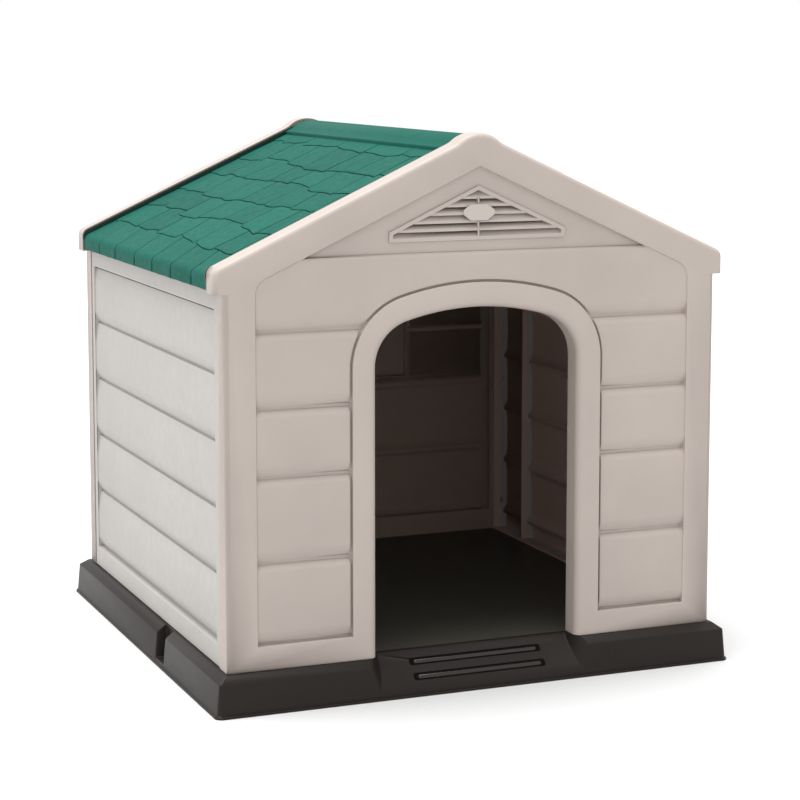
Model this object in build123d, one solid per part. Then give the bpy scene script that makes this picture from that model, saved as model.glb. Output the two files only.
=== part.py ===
"""Snap-together plastic animal hutch: tray base, four panel walls, two louvres, a name plate
and a lift-off gable roof of two tiled halves under a ridge cap.

Millimetres, +Z up. The origin is on the ground under the middle of the tray, and the doorway faces -Y.
"""

import os
from math import asin, atan2, cos, degrees, hypot, radians, sin, sqrt, tan

from build123d import *

# ---------------------------------------------------------------- overall sizes
HUTCH_W = 800.0  # over the outer faces of the corner posts
HUTCH_D = 790.0  # front face of the front wall to rear face of the rear wall
POST_H = 554.0  # tray top to the underside of the eaves
ROOF_PITCH = 24.7  # degrees
TRAY_H = 60.0  # ground to tray top

# ---------------------------------------------------------------- shared walls and clearances
SKIN = 3.0  # moulded wall thickness
FIT_GAP = 0.5  # between wall panels, and round a tab or spigot in its slot
LIFT_GAP = 2.0  # roof end to gable rim
SEAT_GAP = 0.5  # roof to what it comes down on
CUT_PAST = 10.0  # how far a cutting shape runs past the face it cuts

# ---------------------------------------------------------------- gable walls (front and rear)
GABLE_DEPTH = 36.0
POST_W = 48.0  # corner post, seen from the front
RAIL_H = 35.5  # bottom rail
EAVE_OVERHANG = 14.0
EAVE_RETURN_H = 35.0
RAKE_H = 50.0  # rake trim, measured upright
FIELD_CORNER_R = 26.0
EAVE_CORNER_R = 14.0
HUMP_R = 50.0  # rounded peak over the ridge cap
HUMP_DROP = 1.4  # its top below the point where the rake lines meet
HUMP_BLEND_R = 30.0
RIM_EDGE_R = 8.0
STEP_EDGE_R = 2.0
BACK_FLANGE_W = 38.0
BOARD_TOPS = (156.0, 282.0, 383.0, 495.0)  # lower boards of the front and rear, above the tray
FIELD_DEPTH = 9.0  # gable field behind the frame face

# ---------------------------------------------------------------- board relief
BOARD_CREST = 2.5  # depth of a board's face behind the frame face
BOARD_STEP = 8.0  # depth of the groove between two boards behind their faces
BOARD_FOOT_H = 2.0
BOARD_TUCK_H = 20.0  # height over which a board's face curves in to its foot
GABLE_SHOULDER = (13.0, 8.0)  # height and depth of a gable board's rounded top
SIDE_SHOULDER = (42.0, 4.0)  # height and depth of a side board's sloping top
SURROUND_GROOVE_W = 3.5  # groove between the boards and a surround
SURROUND_GROOVE_D = 8.0

# ---------------------------------------------------------------- doorway and blind window
DOOR_W = 330.0
DOOR_CROWN = 519.0  # above the tray
ARCH_CROWN_R = 400.0
ARCH_SHOULDER_R = 70.0
SURROUND_W = 38.0
DOOR_EDGE_R = 12.0
WINDOW_SILL = 295.0  # underside of the blind window's sill, above the tray
WINDOW_SILL_H = 16.0

# ---------------------------------------------------------------- side walls
SIDE_DEPTH = 30.0
SIDE_SETBACK = 1.0  # behind the gable walls' side faces
STILE_W = 15.0
SIDE_OVER_EAVE = 16.0  # its top edge above the underside of the eaves
SIDE_RAIL_H = 34.0
SIDE_BOARDS = 5
SIDE_FRIEZE_H = 26.0  # plain strip under the eaves
SIDE_RIB_Y = 243.0
SIDE_RIB_DEPTH = 12.0

# ---------------------------------------------------------------- tabs that lock the walls to the tray
TAB_L = 60.0
TAB_T = 6.0
TAB_H = 20.0
TAB_BARB = 2.5
GABLE_TAB_X = 276.0
SIDE_TAB_Y = (-240.0, 0.0, 240.0)

# ---------------------------------------------------------------- tray
SKIRT_OUT_TOP = 16.5  # skirt's top edge outside the walls
SKIRT_OUT_FOOT = 21.5
FLANGE_OUT = 24.0
FLANGE_T = 4.0
SKIRT_CORNER_R = 8.0
SKIRT_FALL_H = 10.0  # drop of the plinth's sloping top border
SKIRT_FALL_IN = 3.5  # its inner edge, outside the walls
TRAY_RIBS = 4  # each way
TRAY_RIB_CLEAR = 6.0  # rib foot above the ground
RAMP_IN = 28.0  # ramp's upper edge behind the front face
RAMP_TOP_INSET = 27.0  # each side inside the doorway, and as wide as the doorway at its foot
RAMP_LIP_H = 9.0
RAMP_FLARE_SAG = 5.0
RAMP_SIDE_DRAFT = 18.0  # degrees
GRIP_END_GAP = 35.0  # from the ramp's side
GRIP_R = 4.5
GRIP_SUNK = 1.8
GRIP_PLACES = (0.30, 0.66)  # share of the ramp's length
SLOT_Y = -110.0  # anchor slot in each side skirt
SLOT_W = 45.0
SLOT_FOOT = 8.0

# ---------------------------------------------------------------- louvres and name plate
VENT_HALF_W = 143.0
VENT_SIDE_H = 15.0
VENT_TOP_BELOW_FIELD = 29.0  # louvre apex below the field's apex
FOLD_BELOW_VENT = 16.5  # top of the uppermost board
VENT_RIM = 4.0
VENT_PROUD = 2.5
VENT_SPIGOT = 12.0
VENT_WALL = 2.0
SLAT_PITCH = 11.8
SLAT_T = 2.4
SLAT_LIP = 3.8  # front edge of a slat
SLAT_SETBACK = 1.0
SLAT_RISE = 9.0
SLAT_RUN = 8.0
MULLION_W = 3.0
MULLION_SETBACK = 0.6
MULLION_OVER_PLATE = 12.0
VENT_HOOK_X = 78.0
VENT_HOOK_L = 20.0
VENT_HOOK = 2.0
PLATE_W = 51.0
PLATE_H = 24.0
PLATE_T = 3.0
PLATE_UP = 41.0  # plate's middle above the louvre's foot
PLATE_CLIP = 9.0  # height of its cut-off corners
PLATE_CORNER_R = 3.0
PLATE_EDGE_R = 1.0
PLATE_BOSS_INSET = 5.0  # boss behind the plate, smaller all round
PEG_R = 2.0
PEG_GAP = 0.05
PEG_X = 12.0
PEG_L = 4.0

# ---------------------------------------------------------------- roof
ROOF_BELOW_RIM = 11.0
ROOF_EDGE_H = 18.0  # end plate depth, square to the slope
FASCIA_DROP = 3.0  # fascia's foot above the eave return's foot
ROOF_EAVE_R = 9.0
ROOF_EAVE_IN = 4.0  # fascia's setback from the gable walls' eaves
COURSES = 7
COURSE_STEP = 2.5
BUTT_RUN = 1.8  # run over which a course's lower edge falls
COURSE_RUN_OUT = 15.0  # run over which the next course regains the surface
COURSE_SAG = 2.0
ROOF_RIBS = 3
RIDGE_FLANGE_X = 4.0  # flange face from the ridge plane
RIDGE_FLANGE_H = 30.0
RIDGE_BOLT_Y = (-270.0, -90.0, 90.0, 270.0)
RIDGE_CLIP_Y = (-180.0, 0.0, 180.0)
RIDGE_CLIP_L = 30.0
RIDGE_CLIP_T = 4.0
RIDGE_CLIP_BARB = 3.5
RIDGE_CLIP_NOSE = 8.0
CAP_UNDER_HUMP = 4.0
CAP_HALF_W = 43.0
CAP_T = 7.5
LEDGE_OUT = 20.0
LEDGE_T = 3.0
LEDGE_FROM = 60.0
LEDGE_END_GAP = 25.0  # from the corner post's outer face

# ---------------------------------------------------------------- fasteners
SCREW_R = 2.2
SCREW_HOLE_R = 2.25
SCREW_L = 16.0
SCREW_HEAD_R = 4.6
SCREW_HEAD_H = 3.0
SCREW_END_GAP = 55.0  # lowest and highest screw from the ends of the side wall
SCREWS_PER_CORNER = 3
SCREW_SLOT_W = 1.0
SCREW_SLOT_DEPTH = 1.2
BOLT_R = 2.5
BOLT_HOLE_R = 2.6
BOSS_R = 8.0
BOSS_UP = 2.0  # boss foot above the flange foot
BOLT_PAST_NUT = 2.0
NUT_FLATS = 8.0
NUT_H = 4.0

# ---------------------------------------------------------------- worked out
FRONT_Y = -HUTCH_D / 2
SLOPE = tan(radians(ROOF_PITCH))
UPRIGHT = 1 / cos(radians(ROOF_PITCH))  # turns a thickness square to the roof into an upright one
EAVE_Z = TRAY_H + POST_H
EAVE_X = HUTCH_W / 2 + EAVE_OVERHANG
ROOF_EDGE_X = EAVE_X - ROOF_EAVE_IN
APEX_Z = EAVE_Z + EAVE_RETURN_H + EAVE_X * SLOPE
HUMP_Z = APEX_Z - HUMP_DROP - HUMP_R  # centre of the rounded peak
FIELD_HALF_W = HUTCH_W / 2 - POST_W
FIELD_APEX_Z = APEX_Z - RAKE_H
BOARD_DEEP = BOARD_CREST + BOARD_STEP
VENT_APEX_Z = FIELD_APEX_Z - VENT_TOP_BELOW_FIELD
VENT_FOOT_Z = VENT_APEX_Z - VENT_HALF_W * SLOPE - VENT_SIDE_H
PLATE_Z = VENT_FOOT_Z + PLATE_UP
FOLD_Z = VENT_FOOT_Z - FOLD_BELOW_VENT
ROOF_HALF_L = HUTCH_D / 2 - GABLE_DEPTH - LIFT_GAP
SIDE_FACE_X = HUTCH_W / 2 - SIDE_SETBACK
SIDE_HALF_L = HUTCH_D / 2 - GABLE_DEPTH - FIT_GAP
SIDE_TOP_Z = EAVE_Z + SIDE_OVER_EAVE
SIDE_MID_X = SIDE_FACE_X - SIDE_DEPTH / 2
RAMP_FALL = (TRAY_H - RAMP_LIP_H) / (RAMP_IN + FLANGE_OUT)


def rake_z(x, below=0.0):
    """Height of the rake line at x, or of a line that far below it."""
    return APEX_Z - abs(x) * SLOPE - below


def prism_y(face, y_low, y_high):
    """Extrudes an (x, z) sketch along Y between two depths."""
    solid = extrude(face, amount=y_high - y_low)
    return Pos(0, y_high, 0) * (Rot(90, 0, 0) * solid)


def prism_x(face, x_low, x_high):
    """Extrudes a (y, z) sketch along X."""
    return Pos(x_low, 0, 0) * (Plane.YZ.location * extrude(face, amount=x_high - x_low))


def polygon(points):
    return make_face(Polyline(*points, close=True))


def box(x, y, z):
    """A box from three (low, high) pairs."""
    size = (x[1] - x[0], y[1] - y[0], z[1] - z[0])
    return Pos((x[0] + x[1]) / 2, (y[0] + y[1]) / 2, (z[0] + z[1]) / 2) * Box(*size)


def rod_x(radius, x_low, x_high, y, z):
    return Pos((x_low + x_high) / 2, y, z) * (Rot(0, 90, 0) * Cylinder(radius, x_high - x_low))


def rod_y(radius, y_low, y_high, x, z):
    return Pos(x, (y_low + y_high) / 2, z) * (Rot(90, 0, 0) * Cylinder(radius, y_high - y_low))


def turned(shape):
    """The same shape at the other end of the hutch."""
    return Rot(0, 0, 180) * shape


def both_sides(shape):
    return shape + mirror(shape, about=Plane.YZ)


# ================================================================ outlines in (x, z)
def gable_outline():
    half = HUTCH_W / 2
    corner_z = EAVE_Z + EAVE_RETURN_H
    under_hump_x = (HUMP_R + HUMP_DROP) * sin(radians(ROOF_PITCH)) * cos(radians(ROOF_PITCH))
    face = polygon([
        (-half, TRAY_H), (half, TRAY_H), (half, EAVE_Z), (EAVE_X, EAVE_Z), (EAVE_X, corner_z),
        (under_hump_x, rake_z(under_hump_x)), (-under_hump_x, rake_z(under_hump_x)),
        (-EAVE_X, corner_z), (-EAVE_X, EAVE_Z), (-half, EAVE_Z),
    ])
    eaves = face.vertices().filter_by(lambda v: abs(v.Y - corner_z) < 0.01)
    face = fillet(eaves, EAVE_CORNER_R)
    face = face + Pos(0, HUMP_Z) * Circle(HUMP_R)
    joins = face.vertices().filter_by(lambda v: v.Y > APEX_Z - HUMP_R and abs(v.X) > 1.0)
    return fillet(joins, HUMP_BLEND_R)


def arch_face(grow, foot_z):
    """The doorway's outline made larger by grow, down to foot_z."""
    half = DOOR_W / 2 + grow
    crown_r = ARCH_CROWN_R + grow
    shoulder_r = ARCH_SHOULDER_R + grow
    crown_c = TRAY_H + DOOR_CROWN - ARCH_CROWN_R
    shoulder_x = DOOR_W / 2 - ARCH_SHOULDER_R
    reach = ARCH_CROWN_R - ARCH_SHOULDER_R
    shoulder_z = crown_c + sqrt(reach**2 - shoulder_x**2)
    lean = asin(shoulder_x / reach)

    def on_crown(angle):
        return (crown_r * sin(angle), crown_c + crown_r * cos(angle))

    def on_shoulder(side, angle):
        return (side * (shoulder_x + shoulder_r * sin(angle)), shoulder_z + shoulder_r * cos(angle))

    middle = (lean + radians(90)) / 2
    edges = [
        Line((-half, foot_z), (half, foot_z)),
        Line((half, foot_z), (half, shoulder_z)),
        ThreePointArc((half, shoulder_z), on_shoulder(1, middle), on_crown(lean)),
        ThreePointArc(on_crown(lean), on_crown(0), on_crown(-lean)),
        ThreePointArc(on_crown(-lean), on_shoulder(-1, middle), (-half, shoulder_z)),
        Line((-half, shoulder_z), (-half, foot_z)),
    ]
    return make_face(edges)


def gable_field():
    """Everything inside the posts, rakes and bottom rail."""
    corner_z = FIELD_APEX_Z - FIELD_HALF_W * SLOPE
    foot_z = TRAY_H + RAIL_H
    face = polygon([
        (-FIELD_HALF_W, foot_z), (FIELD_HALF_W, foot_z), (FIELD_HALF_W, corner_z),
        (0, FIELD_APEX_Z), (-FIELD_HALF_W, corner_z),
    ])
    corners = face.vertices().filter_by(lambda v: abs(v.Y - corner_z) < 0.01)
    return fillet(corners, FIELD_CORNER_R)


def vent_outline(inset=0.0):
    """The louvre's five-sided outline."""
    apex_z = VENT_APEX_Z - inset * UPRIGHT
    foot_z = VENT_FOOT_Z + inset
    half = VENT_HALF_W - inset
    side_z = apex_z - half * SLOPE
    return polygon([(-half, foot_z), (half, foot_z), (half, side_z), (0, apex_z), (-half, side_z)])


# ================================================================ board relief in (depth, z)
def bulge(rise, run):
    """Radius and sweep of an arc that is upright at one end and has moved run sideways after rise."""
    sweep = 2 * atan2(run, rise)
    return rise / sin(sweep), sweep


def bulge_arc(z, rise, run, up, shift):
    """Arc from a board's face at height z, up or down (up = 1 or -1), with the surface moved shift deeper."""
    radius, sweep = bulge(rise, run)
    small = radius - shift
    if up > 0 and shift:
        sweep = asin((rise - shift) / small)

    def at(angle):
        return (BOARD_CREST + radius - small * cos(angle), z + up * small * sin(angle))

    return at(0), at(sweep / 2), at(sweep)


def relief_region(levels, shift, shoulder, flat_top_z=None):
    """Space in front of a stack of boards, as a (depth, z) face. shift moves the surface deeper."""
    deep = BOARD_DEEP + shift
    edges, at = [], (-CUT_PAST, levels[0] - shift)
    tuck_sweep = bulge(BOARD_TUCK_H, BOARD_STEP)[1]

    def line_to(point):
        nonlocal at
        if hypot(point[0] - at[0], point[1] - at[1]) > 1e-6:
            edges.append(Line(at, point))
        at = point

    line_to((deep, levels[0] - shift))
    for low, high in zip(levels, levels[1:]):
        rise, run = shoulder
        if high == levels[-1] and flat_top_z:
            rise = run = FIELD_DEPTH - BOARD_CREST
        foot_z = low + BOARD_FOOT_H
        line_to((deep, foot_z + shift * tan(tuck_sweep / 2)))
        face, middle, foot = bulge_arc(foot_z + BOARD_TUCK_H, BOARD_TUCK_H, BOARD_STEP, -1, shift)
        line_to(foot)
        edges.append(ThreePointArc(foot, middle, face))
        at = face
        face, middle, top = bulge_arc(high - rise, rise, run, 1, shift)
        line_to(face)
        edges.append(ThreePointArc(face, middle, top))
        at = top
        if high != levels[-1]:
            line_to((deep, high - shift))
    if flat_top_z:
        line_to((FIELD_DEPTH + shift, levels[-1] - shift))
        line_to((FIELD_DEPTH + shift, flat_top_z))
    line_to((-CUT_PAST, at[1]))
    line_to((-CUT_PAST, levels[0] - shift))
    return make_face(edges)


def gable_relief(field, surround_foot_z, shift):
    """What is cut away in front of a gable wall's boards and field, for a front wall."""
    levels = [TRAY_H + RAIL_H, *(TRAY_H + top for top in BOARD_TOPS), FOLD_Z]
    stack = relief_region(levels, shift, GABLE_SHOULDER, flat_top_z=FIELD_APEX_Z + 2 * CUT_PAST)
    body = prism_x(Pos(FRONT_Y, 0) * stack, -HUTCH_W / 2, HUTCH_W / 2)
    outline = offset(field, shift, kind=Kind.INTERSECTION) if shift else field
    ring = outline & arch_face(SURROUND_W + SURROUND_GROOVE_W + shift, surround_foot_z)
    groove = prism_y(ring, FRONT_Y - CUT_PAST, FRONT_Y + SURROUND_GROOVE_D + shift)
    return (body & prism_y(outline, FRONT_Y - CUT_PAST, FRONT_Y + GABLE_DEPTH)) + groove


# ================================================================ walls
def gable_block(inset):
    """The front wall's block before its relief, or the space inside its skin."""
    outline, back_y = gable_outline(), FRONT_Y + GABLE_DEPTH
    if inset:
        outline, back_y = offset(outline, -inset, kind=Kind.INTERSECTION), back_y + CUT_PAST
    block = prism_y(outline, FRONT_Y + inset, back_y)
    front_edges = block.faces().sort_by(Axis.Y)[0].edges()
    rim = [e for e in front_edges if e.bounding_box().size.Z > 1.0]
    return fillet(rim, RIM_EDGE_R - inset)


def wall_tab(x):
    """A barbed tab under a gable wall, in the front wall's place."""
    y = FRONT_Y + GABLE_DEPTH / 2
    height = (TRAY_H - TAB_H, TRAY_H + SKIN)
    blade = box((x - TAB_L / 2, x + TAB_L / 2), (y - TAB_T / 2, y + TAB_T / 2), height)
    barb_top = TRAY_H - SKIN - FIT_GAP
    barb = polygon([
        (y + TAB_T / 2, barb_top), (y + TAB_T / 2 + TAB_BARB, barb_top), (y + TAB_T / 2, TRAY_H - TAB_H),
    ])
    return blade + prism_x(barb, x - TAB_L / 4, x + TAB_L / 4)


def back_flange(opening):
    """Flat ring that closes the posts and rakes from behind and takes the corner screws."""
    outline = gable_outline()
    ring = outline - offset(outline, -BACK_FLANGE_W, kind=Kind.INTERSECTION)
    back_y = FRONT_Y + GABLE_DEPTH
    flange = prism_y(ring, back_y - SKIN, back_y)
    return flange - prism_y(opening, back_y - GABLE_DEPTH, back_y + CUT_PAST) if opening else flange


def roof_ledges():
    """Sloping ledges behind a gable that carry the roof's end plates."""
    back_y = FRONT_Y + GABLE_DEPTH
    top = (ROOF_BELOW_RIM + ROOF_EDGE_H + SEAT_GAP) * UPRIGHT
    foot = top + LEDGE_T * UPRIGHT
    low_x = HUTCH_W / 2 - LEDGE_END_GAP
    strip = polygon([
        (LEDGE_FROM, rake_z(LEDGE_FROM, top)), (low_x, rake_z(low_x, top)),
        (low_x, rake_z(low_x, foot)), (LEDGE_FROM, rake_z(LEDGE_FROM, foot)),
    ])
    return both_sides(prism_y(strip, back_y - SKIN, back_y + LEDGE_OUT))


def corner_screw_places():
    """(x, z) of the screws at one end of the hutch."""
    low, high = TRAY_H + SCREW_END_GAP, SIDE_TOP_Z - SCREW_END_GAP
    step = (high - low) / (SCREWS_PER_CORNER - 1)
    return [(side * SIDE_MID_X, low + step * k) for side in (-1, 1) for k in range(SCREWS_PER_CORNER)]


def gable_shell(field, surround_foot_z, opening):
    """Skin that follows the frame, the boards and the field, with a return round any opening."""
    outer = gable_block(0) - gable_relief(field, surround_foot_z, 0)
    inner = gable_block(SKIN) - gable_relief(field, surround_foot_z, SKIN)
    if opening:
        outer = outer - prism_y(opening(0), FRONT_Y - CUT_PAST, FRONT_Y + 2 * GABLE_DEPTH)
        inner = inner - prism_y(opening(SKIN), FRONT_Y - CUT_PAST, FRONT_Y + 2 * GABLE_DEPTH)
        outer = fillet(door_edges(outer, FRONT_Y, 0), DOOR_EDGE_R)
        inner = fillet(door_edges(inner, FRONT_Y + SKIN, SKIN), DOOR_EDGE_R - SKIN)
    return outer - inner


def door_edges(solid, y, grow):
    """Edges of the doorway on the face at depth y."""
    half = DOOR_W / 2 + grow + 0.1
    top = TRAY_H + DOOR_CROWN + grow + 0.1
    return [
        e for e in solid.edges()
        if all(abs(v.Y - y) < 0.01 and abs(v.X) < half and v.Z < top for v in e.vertices())
        and abs(e.center().X) < half and e.center().Z > TRAY_H + SKIN + 1
    ]


def finish_gable(wall):
    """Adds what both gable walls share: ledges, tabs, louvre window and screw holes."""
    wall = wall + roof_ledges() + both_sides(wall_tab(GABLE_TAB_X))
    wall = wall - prism_y(vent_outline(VENT_RIM - FIT_GAP), FRONT_Y - CUT_PAST, FRONT_Y + GABLE_DEPTH)
    back_y = FRONT_Y + GABLE_DEPTH
    for x, z in corner_screw_places():
        wall = wall - rod_y(SCREW_HOLE_R, back_y - 2 * SKIN, back_y + 1, x, z)
    return wall


def front_wall():
    field = gable_field() - arch_face(SURROUND_W, 0)
    shell = gable_shell(field, 0, lambda grow: arch_face(grow, 0))
    return finish_gable(shell + back_flange(arch_face(0, 0)))


def rear_wall():
    sill_z = TRAY_H + WINDOW_SILL
    surround = arch_face(SURROUND_W, sill_z)
    blind = arch_face(0, sill_z + WINDOW_SILL_H)
    shell = gable_shell(gable_field() - surround, sill_z, None)
    pocket = prism_y(blind, FRONT_Y - CUT_PAST, FRONT_Y + FIELD_DEPTH)
    backing = prism_y(offset(blind, SKIN), FRONT_Y, FRONT_Y + FIELD_DEPTH + SKIN)
    wall = (shell + backing) - pocket
    return turned(finish_gable(wall + back_flange(None)))


def side_wall():
    """The right-hand wall."""
    low, high = TRAY_H, SIDE_TOP_Z
    board = (EAVE_Z - SIDE_FRIEZE_H - low - SIDE_RAIL_H) / SIDE_BOARDS
    levels = [low + SIDE_RAIL_H + board * k for k in range(SIDE_BOARDS + 1)]
    field_half = SIDE_HALF_L - STILE_W

    def body(inset):
        back = SIDE_FACE_X - SIDE_DEPTH - (CUT_PAST if inset else 0)
        half = SIDE_HALF_L - inset
        block = box((back, SIDE_FACE_X - inset), (-half, half), (low + inset, high - inset))
        region = mirror(relief_region(levels, inset, SIDE_SHOULDER), about=Plane.YZ)
        relief = prism_y(region, -field_half - inset, field_half + inset)
        return block - Pos(SIDE_FACE_X, 0, 0) * relief

    wall = body(0)
    face_edges = wall.faces().sort_by(Axis.X)[-1].edges()
    wall = fillet(face_edges, STEP_EDGE_R) - body(SKIN)
    back_x = SIDE_FACE_X - BOARD_DEEP - SKIN
    for y in (-SIDE_RIB_Y, SIDE_RIB_Y):
        depth = (back_x - SIDE_RIB_DEPTH, SIDE_FACE_X - SKIN)
        rib = box(depth, (y - SKIN / 2, y + SKIN / 2), (low + SKIN, high - SKIN))
        wall = wall + (rib - side_front(levels, field_half))
    for y in SIDE_TAB_Y:
        wall = wall + side_tab(y)
    for x, z in corner_screw_places():
        if x > 0:
            for end in (-SIDE_HALF_L, SIDE_HALF_L):
                wall = wall - rod_y(SCREW_HOLE_R + FIT_GAP, end - 2 * SKIN, end + 2 * SKIN, x, z)
    return wall


def side_front(levels, field_half):
    """Space in front of the right-hand wall's skin."""
    region = mirror(relief_region(levels, SKIN / 2, SIDE_SHOULDER), about=Plane.YZ)
    return Pos(SIDE_FACE_X, 0, 0) * prism_y(region, -field_half, field_half)


def side_tab(y):
    """A barbed tab under the right-hand wall."""
    x = SIDE_MID_X
    height = (TRAY_H - TAB_H, TRAY_H + SKIN)
    blade = box((x - TAB_T / 2, x + TAB_T / 2), (y - TAB_L / 2, y + TAB_L / 2), height)
    barb_top = TRAY_H - SKIN - FIT_GAP
    barb = polygon([
        (x - TAB_T / 2, barb_top), (x - TAB_T / 2 - TAB_BARB, barb_top), (x - TAB_T / 2, TRAY_H - TAB_H),
    ])
    return blade + prism_y(barb, y - TAB_L / 4, y + TAB_L / 4)


# ================================================================ tray
def skirt_block(inset, top_z):
    """Tapered plinth under the walls, or the hollow inside it."""
    half_x = HUTCH_W / 2 + SKIRT_OUT_FOOT - inset
    half_y = HUTCH_D / 2 + SKIRT_OUT_FOOT - inset
    taper = degrees(atan2(SKIRT_OUT_FOOT - SKIRT_OUT_TOP, TRAY_H - FLANGE_T))
    plan = RectangleRounded(2 * half_x, 2 * half_y, SKIRT_CORNER_R - inset / 2)
    return extrude(plan, amount=top_z, taper=taper)


def skirt_border(inset):
    """Everything under the plinth's sloping top border, or under the inside of its skin."""
    fall = SKIRT_OUT_TOP - SKIRT_FALL_IN
    lower = inset * hypot(fall, SKIRT_FALL_H) / fall
    foot_out = SKIRT_FALL_IN + fall * TRAY_H / SKIRT_FALL_H
    foot = Pos(0, 0, -lower) * Rectangle(HUTCH_W + 2 * foot_out, HUTCH_D + 2 * foot_out)
    top = Pos(0, 0, TRAY_H - lower) * Rectangle(HUTCH_W + 2 * SKIRT_FALL_IN, HUTCH_D + 2 * SKIRT_FALL_IN)
    return loft([foot, top])


def ramp_notch(grow):
    """Space over the doorway ramp; grow makes it larger for the underside of the skin."""
    in_y = FRONT_Y + RAMP_IN + grow
    foot_y = FRONT_Y - FLANGE_OUT
    past_y = foot_y - CUT_PAST
    foot_half = DOOR_W / 2 + grow
    top_half = foot_half - RAMP_TOP_INSET
    middle = ((top_half + foot_half) / 2 - RAMP_FLARE_SAG, (in_y + foot_y) / 2)
    edges = [
        Line((-top_half, in_y), (top_half, in_y)),
        ThreePointArc((top_half, in_y), middle, (foot_half, foot_y)),
        Line((foot_half, foot_y), (foot_half + CUT_PAST, past_y)),
        Line((foot_half + CUT_PAST, past_y), (-foot_half - CUT_PAST, past_y)),
        Line((-foot_half - CUT_PAST, past_y), (-foot_half, foot_y)),
        ThreePointArc((-foot_half, foot_y), (-middle[0], middle[1]), (-top_half, in_y)),
    ]
    over = CUT_PAST
    plan = Pos(0, 0, RAMP_LIP_H - over) * make_face(edges)
    column = extrude(plan, amount=TRAY_H - RAMP_LIP_H + 2 * over, taper=-RAMP_SIDE_DRAFT)
    in_z = TRAY_H - grow * sqrt(1 + RAMP_FALL**2) + grow * RAMP_FALL
    above = polygon([
        (in_y, in_z), (in_y, TRAY_H + 2 * over), (past_y, TRAY_H + 2 * over),
        (past_y, in_z - (in_y - past_y) * RAMP_FALL),
    ])
    return column & prism_x(above, -HUTCH_W, HUTCH_W)


def anchor_slots(grow):
    """Slots down the outside of each side skirt."""
    half = SLOT_W / 2 + grow
    depth = (HUTCH_W / 2 + FIT_GAP - grow, HUTCH_W / 2 + FLANGE_OUT + CUT_PAST)
    return both_sides(box(depth, (SLOT_Y - half, SLOT_Y + half), (SLOT_FOOT - grow, TRAY_H + CUT_PAST)))


def ramp_grips():
    """Half-round bars across the ramp."""
    sunk_y = GRIP_SUNK * RAMP_FALL / sqrt(1 + RAMP_FALL**2)
    sunk_z = GRIP_SUNK / sqrt(1 + RAMP_FALL**2)
    half = DOOR_W / 2 - RAMP_TOP_INSET - GRIP_END_GAP - GRIP_R
    grips = []
    for share in GRIP_PLACES:
        y = FRONT_Y + RAMP_IN - share * (RAMP_IN + FLANGE_OUT) + sunk_y
        z = TRAY_H - share * (TRAY_H - RAMP_LIP_H) - sunk_z
        bar = rod_x(GRIP_R, -half, half, y, z)
        grips.append(bar + Pos(-half, y, z) * Sphere(GRIP_R) + Pos(half, y, z) * Sphere(GRIP_R))
    return grips


def tray():
    """Plinth, foot flange, ramp, anchor slots and the ribs underneath."""
    foot = RectangleRounded(HUTCH_W + 2 * FLANGE_OUT, HUTCH_D + 2 * FLANGE_OUT, SKIRT_CORNER_R + SKIN)
    flange = extrude(foot, amount=FLANGE_T)
    plinth = skirt_block(0, TRAY_H) & skirt_border(0)
    hollow = skirt_block(SKIN, TRAY_H - SKIN) & skirt_border(SKIN)
    outside = (plinth + flange) - ramp_notch(0) - anchor_slots(0)
    inside = hollow - ramp_notch(SKIN) - anchor_slots(SKIN)
    shell = outside - inside
    half_x, half_y = HUTCH_W / 2, HUTCH_D / 2
    rib_height = (TRAY_RIB_CLEAR, TRAY_H - SKIN / 2)
    for k in range(TRAY_RIBS):
        share = (k + 0.5) / TRAY_RIBS * 2 - 1
        x, y = share * half_x, share * half_y
        across = box((-half_x, half_x), (y - SKIN / 2, y + SKIN / 2), rib_height)
        along = box((x - SKIN / 2, x + SKIN / 2), (-half_y, half_y), rib_height)
        shell = shell + ((across + along) & inside)
    for grip in ramp_grips():
        shell = shell + (grip - inside)
    return shell - tab_slots()


def tab_slots():
    """Slots in the tray top, and clear ways through its ribs, for the walls' tabs."""
    deep = (TRAY_H - TAB_H - FIT_GAP, TRAY_H + 1)
    long, thick = TAB_L / 2 + FIT_GAP, TAB_T / 2 + FIT_GAP
    slots = []
    for end in (-1, 1):
        y = end * (HUTCH_D / 2 - GABLE_DEPTH / 2)
        for x in (-GABLE_TAB_X, GABLE_TAB_X):
            slots.append(box((x - long, x + long), (y - thick, y + thick), deep))
            slots.append(barb_room(x, y - end * TAB_T / 2, along_x=True))
    for side in (-1, 1):
        x = side * SIDE_MID_X
        for y in SIDE_TAB_Y:
            slots.append(box((x - thick, x + thick), (y - long, y + long), deep))
            slots.append(barb_room(x - side * TAB_T / 2, y, along_x=False))
    return slots


def barb_room(x, y, along_x):
    """Room under the tray top for a tab's barb."""
    long, wide = TAB_L / 4 + FIT_GAP, TAB_BARB + FIT_GAP
    height = (TRAY_H - TAB_H - FIT_GAP, TRAY_H - SKIN)
    if along_x:
        return box((x - long, x + long), (y - wide, y + wide), height)
    return box((x - wide, x + wide), (y - long, y + long), height)


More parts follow.
